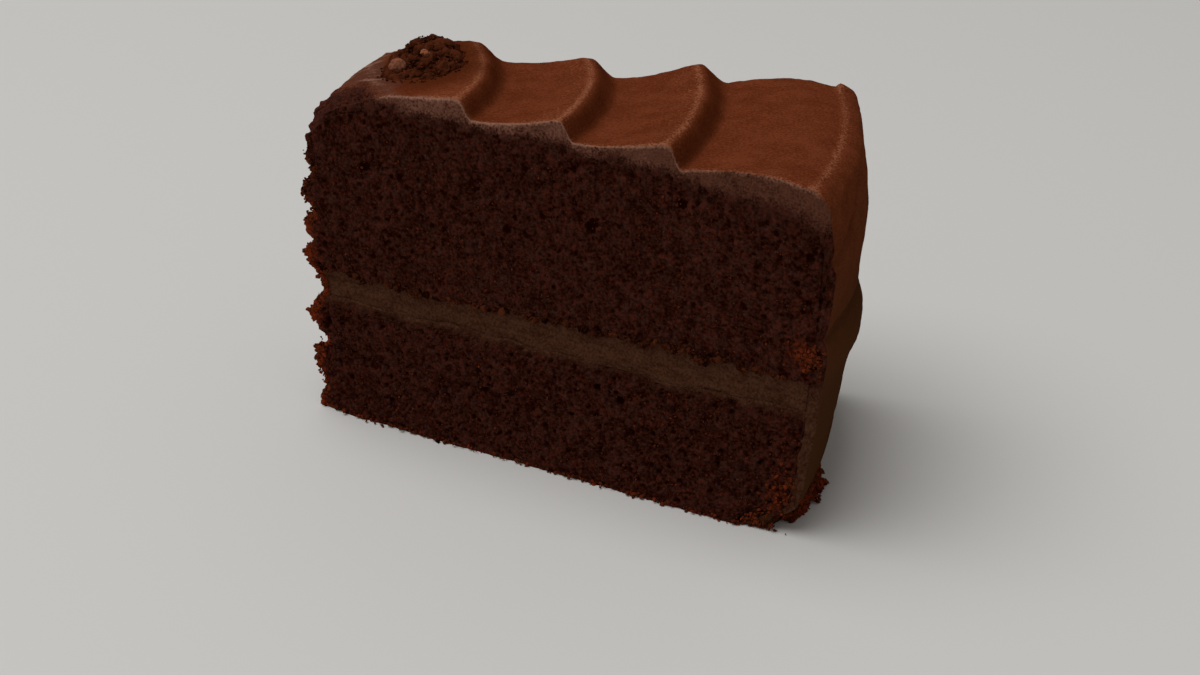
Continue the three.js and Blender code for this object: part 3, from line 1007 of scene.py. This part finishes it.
def icing_piece(points, triangles):
    """The sheet with its relief, its edges rounded by a push that fades within half a mm of them."""
    gaps = from_cuts(points)
    edge = np.exp(-(np.minimum.reduce(gaps) + skin_gap(points)) / 0.5) * (1 - bare_share(points))
    bevel = 0.22 * edge * (1 + 0.6 * rough(points, 1.5, 97, 2))
    push = normals_of(points, triangles) * icing_push(points, gaps)[:, None]
    lifted = points + push - edge_direction(points, gaps) * bevel[:, None]
    x, y, z = points.T
    lifted[:, 0] += nose_setback(y, z) * (1 - smooth(x, 0, 8)) * (1 - smooth(y, 5, 13))
    return make_piece("swirled_icing", lifted, triangles, icing_values(points, gaps))


icing = icing_piece(icing_points, icing_triangles)
settle(icing, "icing", ICING)

# %% [markdown]
# A knob of icing stands at the edge of the torn patch near the nose, pushed up when the patch was pulled off.
# A ball pushed in and out is lumpy enough for it.

# %% Knob
def ball(middle, radii, steps=40):
    """Closed ball as a grid of heights by ways round, stretched by a radius for each axis."""
    up = np.linspace(-np.pi / 2, np.pi / 2, steps)[:, None]
    round_it = np.linspace(0, 2 * np.pi, 2 * steps)[None, :]
    grid = stack(np.cos(up) * np.cos(round_it), np.cos(up) * np.sin(round_it), np.sin(up))
    return weld([np.array(middle) + grid * radii])


KNOBS = (  # x, y, height over the icing, size, how greyish
    (14.2, 18.2, 1.5, 1.9, 0.45),
    (18.3, 23.0, 3.2, 0.9, 0.0),
    (19.6, 22.4, 3.1, 0.7, 0.0),
)
KNOB_LOOK = {"band": 1.0, "pale": 1.0, "ridge": 1.1, "relief": 0.5}
KNOB_LOOK.update(dict.fromkeys(("line", "groove", "cream", "low"), 0.0))


def knob_piece():
    """Lumpy balls, each pushed in and out by a fifth of its size."""
    points, triangles, grey = [], [], []
    for x, y, rise, size, greyish in KNOBS:
        corners, faces = ball((x, y, top_height(x, y) + rise), (1.05 * size, 0.95 * size, 0.9 * size))
        triangles.append(faces + sum(len(p) for p in points))
        bumps = 0.22 * size * rough(corners, 1.2 * size, 111, 3)
        points.append(corners + normals_of(corners, faces) * bumps[:, None])
        grey.append(np.full(len(corners), greyish))
    points = np.concatenate(points)
    values = {key: np.full(len(points), number) for key, number in KNOB_LOOK.items()}
    values["cut"] = np.concatenate(grey)
    return make_piece("icing_knob", points, np.concatenate(triangles), values)


settle(knob_piece(), None, ICING)

# %% [markdown]
# ## Crumbs
# Loose crumbs are what makes a slice look freshly cut. One crumb is a ball of twenty triangles with its
# twelve corners pushed in and out at random, and each kind of crumb is one mesh made of thousands of them.
# Geometry nodes could scatter them too; seeded numbers give plain triangles, ready for export.

# %% Crumb maker
random = np.random.default_rng(7)  # draws places and sizes; each kind's own seed draws its shapes
GOLD = (1 + 5**0.5) / 2
BALL_CORNERS = [np.roll((a, b * GOLD, 0), turn) for turn, b, a in product((0, 1, 2), (1, -1), (-1, 1))]
BALL_CORNERS = np.array(BALL_CORNERS) / np.hypot(1, GOLD)
BALL_FACES = np.array([
    (0, 11, 5), (0, 5, 1), (0, 1, 7), (0, 7, 10), (0, 10, 11), (1, 5, 9), (5, 11, 4), (11, 10, 2),
    (10, 7, 6), (7, 1, 8), (3, 9, 4), (3, 4, 2), (3, 2, 6), (3, 6, 8), (3, 8, 9), (4, 9, 5), (2, 4, 11),
    (6, 2, 10), (8, 6, 7), (9, 8, 1),
])
print("one crumb has", len(BALL_CORNERS), "corners and", len(BALL_FACES), "triangles")


def crumbs(name, middles, size_range, seed, node=None, redness=0.5):
    """Joined crumbs: each is the ball, its corners moved in and out, squashed and turned at random."""
    count = len(middles)
    sizes = random.uniform(*size_range, count)
    shapes = np.random.default_rng(seed)
    corners = BALL_CORNERS[None] * shapes.uniform(0.45, 1.35, (count, 12, 1))
    corners = corners * shapes.uniform(0.55, 1.25, (count, 1, 3))
    turns, _ = np.linalg.qr(shapes.normal(size=(count, 3, 3)))
    turns = turns * np.sign(np.linalg.det(turns))[:, None, None]
    corners = np.einsum("nij,nkj->nki", turns, corners) * sizes[:, None, None] + middles[:, None]
    faces = BALL_FACES[None] + 12 * np.arange(count)[:, None, None]
    tone = np.repeat(np.clip(shapes.normal(redness, 0.05 + 0.25 * redness, count), 0, 1), 12)
    piece = make_piece(name, corners.reshape(-1, 3), faces.reshape(-1, 3), {"tone": tone}, soft=False)
    settle(piece, node, CRUMBS)


# %% [markdown]
# Most crumbs are tiny and sit in the torn faces. Larger ones hang together along the crumbling nose, along
# the bottom edges and where the sponge breaks away at the corners. They are redder, because light comes
# through them from behind. A scatter over the whole mesh would put most of them on hidden faces, so each
# face has a formula for its places.

# %% Places for crumbs
def on_nose_x(y, z):
    """Where the nose stands: its straight line and its setback."""
    return NOSE_BACK[0] * y / NOSE_BACK[1] + nose_setback(y, z)


def on_front(count, x_range, z_range, out=0.1):
    """Places on the front cut, from its plane to a little way out of it."""
    x = random.uniform(*x_range, count)
    z = random.uniform(*z_range, count)
    return worn(stack(x, -np.abs(random.normal(0, out, count)), z))


def on_back(count, z_range, out=0.1):
    """Places on the back cut, evenly from the nose to the sponge's rim at their height."""
    share = random.uniform(0, 1, count)
    z = random.uniform(*z_range, count)
    gap = np.abs(random.normal(0, out, count))
    rim_x, rim_y = ring_point(sponge_radius(z), 1.0)
    x = blend(NOSE_BACK[0], rim_x, share) - gap * np.sin(BACK_CUT)
    y = blend(NOSE_BACK[1], rim_y, share) + gap * np.cos(BACK_CUT)
    return stack(x, y, z)


def on_nose(count, z_range, out=0.3):
    """Places on the nose, from back to front."""
    y = random.uniform(0, NOSE_BACK[1], count)
    z = random.uniform(*z_range, count)
    return stack(on_nose_x(y, z) - np.abs(random.normal(0, out, count)), y, z)


def on_nose_edge(count, z_middle, spread, front=True):
    """A tuft on one of the nose's two edges: thick in its middle and thin above and below it."""
    z = random.normal(z_middle, spread, count)
    y = np.abs(random.normal(0, 0.7, count))
    y = y if front else NOSE_BACK[1] - y
    return stack(on_nose_x(y, z) + random.normal(0.35, 0.45, count), y, z)


def tuft(count, middle, spread):
    """A cloud of places round a middle on the front cut, moved with the worn block."""
    return worn(np.clip(random.normal(middle, spread, (count, 3)), [0, -0.4, 0.3], [125, 3, 80]))


def below_top(places, margin=1.0):
    """Keeps the places that lie under the icing and outside the filling."""
    x, y, z = places.T
    sponge = z < sponge_height(x, np.clip(y, 0, 70)) - margin
    cream = (z > filling_bottom(x, y) - 0.2) & (z < filling_top(x, y) + 0.2)
    return places[sponge & ~cream]


def back_cut_y(x):
    """Where the back cut lies at x: a straight line that leans by BACK_CUT."""
    return NOSE_BACK[1] + (x - NOSE_BACK[0]) * np.tan(BACK_CUT)


print("the back cut meets the rim near y", round(float(back_cut_y(112)), 1), "mm")

# %% Crumbs in the torn faces
fine = [
    on_front(2300, (0, 121), (0, 76)),
    on_back(2300, (0, 76)),
    on_nose(1000, (0, 72), 0.2),
]
crumbs("fine_crumbs", below_top(np.concatenate(fine)), (0.15, 0.30), 101, redness=0.40)

# %% Crumbs over the filling
IN_FRONT, AT_BACK = 170, 150
x = np.concatenate([random.uniform(1, 118, IN_FRONT), random.uniform(1, 102, AT_BACK)])
y = np.where(np.arange(len(x)) < IN_FRONT, 0, back_cut_y(x))
z = filling_top(x, y) + np.abs(random.normal(0, 0.35, len(x)))
crumbs("overhanging_crumbs", worn(stack(x, y, z)), (0.4, 1.1), 102, redness=0.26)

# %% Crumbs along the foot and the nose
coarse = [
    on_nose(420, (1, 70)),
    on_front(170, (4, 112), (0.2, 1.0), 0.35),
    on_back(170, (0.2, 1.0), 0.35),
]
crumbs("coarse_crumbs", below_top(np.concatenate(coarse), 5.0), (0.25, 0.6), 103, redness=0.55)

# %% Tufts on the nose's edges
NOSE_TUFTS = (  # height of the middle, spread, how many
    (4.0, 3.0, 130),
    (12.5, 1.8, 90),
    (15.2, 0.6, 40),
    (19.0, 1.5, 60),
    (25.6, 1.7, 170),
    (33.0, 3.0, 120),
    (40.4, 1.2, 120),
    (47.8, 1.0, 80),
    (57.0, 5.0, 260),
)
tufts = []
for middle, spread, count in NOSE_TUFTS:
    tufts += [on_nose_edge(count, middle, spread, front) for front in (True, False)]
tufts = np.concatenate(tufts)
tufts = tufts[tufts[:, 2] < 64]
browner = np.maximum(tufts[:, 1] > NOSE_BACK[1] / 2, smooth(tufts[:, 2], 46, 56))
crumbs("nose_crumbs", tufts, (0.25, 0.7), 104, redness=blend(0.8, 0.45, browner))

# %% [markdown]
# Near the nose a patch of the icing has been pulled off, and crumbs of another layer have stayed on it. It
# is a lumpy mound, higher at the back, whose outline wanders, with loose crumbs round its edge. It is a
# piece of its own, since crumbs hide its seam.

# %% Torn patch
PATCH_ROUNDS, PATCH_WAYS = 76, 230  # points from its middle outwards, and round it
ON_PATCH = 900  # loose crumbs


def patch_surface(share, angle):
    """The mound: a film of crumbs in front, 84 mm high at the back, its edge steep, cut at the back cut."""
    x = PATCH[0] + share * patch_reach(angle) * np.cos(angle)
    y = PATCH[1] + share * patch_reach(angle) * np.sin(angle)
    y = np.minimum(y, back_cut_y(x) - 0.7)
    level = blend(top_height(x, y) + 0.35, 83.8, smooth(y + 0.25 * x, 18, 35))
    return stack(x, y, blend(level, top_height(x, y) - 0.7, share**9))


def patch_piece():
    """The mound and the flat side under it, with the relief of torn sponge on slower lumps."""
    share = np.linspace(0, 1, PATCH_ROUNDS)[:, None]
    over = patch_surface(share, np.linspace(0, 2 * np.pi, PATCH_WAYS)[None, :])
    under = over.copy()
    under[..., 2] = top_height(over[..., 0], over[..., 1]) - 1.3
    over[-1] = under[-1]
    points, triangles = weld([over[::-1], under])
    lumps = 0.8 * rough(points, 3.2, 123, 2) + 0.6 * rough(points, 1.5, 124, 2)
    lift = 1.2 * sponge_grain(points) + lumps + 0.2
    lift = lift * smooth(points[:, 2] - top_height(points[:, 0], points[:, 1]), -0.9, 0.1)
    lifted = points + normals_of(points, triangles) * lift[:, None]
    # tone follows the lift, so the mound's hollows and pores get a painted shade
    return make_piece("torn_patch", lifted, triangles, {"tone": np.clip(0.24 + 0.32 * lift, 0, 0.62)})


settle(patch_piece(), "top_crumbs", CRUMBS)
places = patch_surface(np.sqrt(random.uniform(0.0, 1.25, ON_PATCH)), random.uniform(0, 2 * np.pi, ON_PATCH))
places[:, 2] = np.maximum(places[:, 2], top_height(places[:, 0], places[:, 1])) + 0.05
crumbs("patch_crumbs", places, (0.12, 0.38), 105, redness=0.40)

# %% [markdown]
# At the foot of the rim, beside the front corner, a clump of crumbs has been pushed out by the knife, and
# crumbs have broken away at the corner, just over the filling and down to the ground. Physics could pile
# them up, but a formula gives the same heap each time.

# %% Clump at the foot
IN_CLUMP = 620
along = random.uniform(0, 1, IN_CLUMP)
y = 5 + 18 * along
tall = 1.5 + 5.0 * smooth(along, 0.1, 0.75) * (1 - 0.6 * smooth(along, 0.8, 1.0))
z = tall * random.uniform(0.05, 1, IN_CLUMP) ** 1.3
out = 0.5 + np.minimum(np.abs(random.normal(0, 0.9 + 0.8 * along)), 3.2) * (1 - z / (tall + 1.5))
radius = 149.8 + out
angle = np.arcsin((y - SWIRL[1]) / radius)
clump = worn(stack(SWIRL[0] + radius * np.cos(angle), SWIRL[1] + radius * np.sin(angle), z))
crumbs("foot_crumbs", clump, (0.35, 1.0), 107, "base_crumbs", redness=0.70)

# %% Broken corner
corner = [
    tuft(120, (117.0, 0.0, 1.0), (2.6, 0.3, 1.0)),
    tuft(90, (117.5, 0.0, 9.0), (1.4, 0.25, 4.5)),
    tuft(110, (121.5, 0.0, 42.8), (1.6, 0.3, 1.7)),
]
crumbs("corner_crumbs", np.concatenate(corner), (0.25, 0.6), 109, redness=0.60)

# %% [markdown]
# ## Studio
# The slice stands on a plain pale floor. One large soft lamp hangs over it, a little to the left and on the
# camera's side, and a pale world fills the shadows. A small lamp would throw a hard shadow.

# %% Camera
CAMERA_PLACE = np.array([220.9, -276.0, 195.0])
HEADING = np.array([-0.468, 0.884])
PITCH = np.radians(27)


def aimed(thing, target):
    """Turns a lamp or a camera so that its -Z axis points at a place."""
    thing.rotation_mode = "QUATERNION"
    thing.rotation_quaternion = (target - thing.location).to_track_quat("-Z", "Y")


camera_data = bpy.data.cameras.new("camera")
camera_data.lens = 50
camera_data.sensor_width = 36
camera_data.clip_start = 0.01
camera_data.clip_end = 20
camera = linked("camera", camera_data)
camera.location = Vector((CAMERA_PLACE + ORIGIN) * MM)
look = Vector((np.cos(PITCH) * HEADING[0], np.cos(PITCH) * HEADING[1], -np.sin(PITCH)))
aimed(camera, camera.location + look)
bpy.context.scene.camera = camera
print("camera", round(camera.location.length, 3), "m from the frame's origin")

# %% Lamp and world
LAMP_FAR = 2.4
LAMP_WIDE = 2.4
key_data = bpy.data.lights.new("key", "AREA")
key_data.shape = "DISK"
key_data.size = LAMP_WIDE
key_data.energy = 37.0
key = linked("key", key_data)
left, near = Vector((-0.884, -0.468, 0)), Vector((0.468, -0.884, 0))
key.location = (0.36 * left + Vector((0, 0, 1.0)) + 0.04 * near).normalized() * LAMP_FAR
aimed(key, Vector((0, 0, 0.03)))

world = bpy.data.worlds.new("studio")
world.use_nodes = True
sky = world.node_tree.nodes["Background"].inputs
sky["Color"].default_value = colour(1.0, 0.97, 0.93)
sky["Strength"].default_value = 0.22
bpy.context.scene.world = world
bpy.context.scene.view_settings.view_transform = "Standard"
print("lamp", LAMP_WIDE, "m wide at", LAMP_FAR, "m")

# %% Floor
FLOOR_HALF = 6.0
floor_corners = [(x * FLOOR_HALF, y * FLOOR_HALF, 0) for x, y in ((-1, -1), (1, -1), (1, 1), (-1, 1))]
floor_mesh = bpy.data.meshes.new("floor")
floor_mesh.from_pydata(floor_corners, [], [(0, 1, 2, 3)])
floor = linked("floor", floor_mesh)
pale = Finish("pale floor")
floor.data.materials.append(pale.finish(Base_Color=colour(0.78, 0.77, 0.75), Roughness=0.6))
print("floor", 2 * FLOOR_HALF, "m wide")
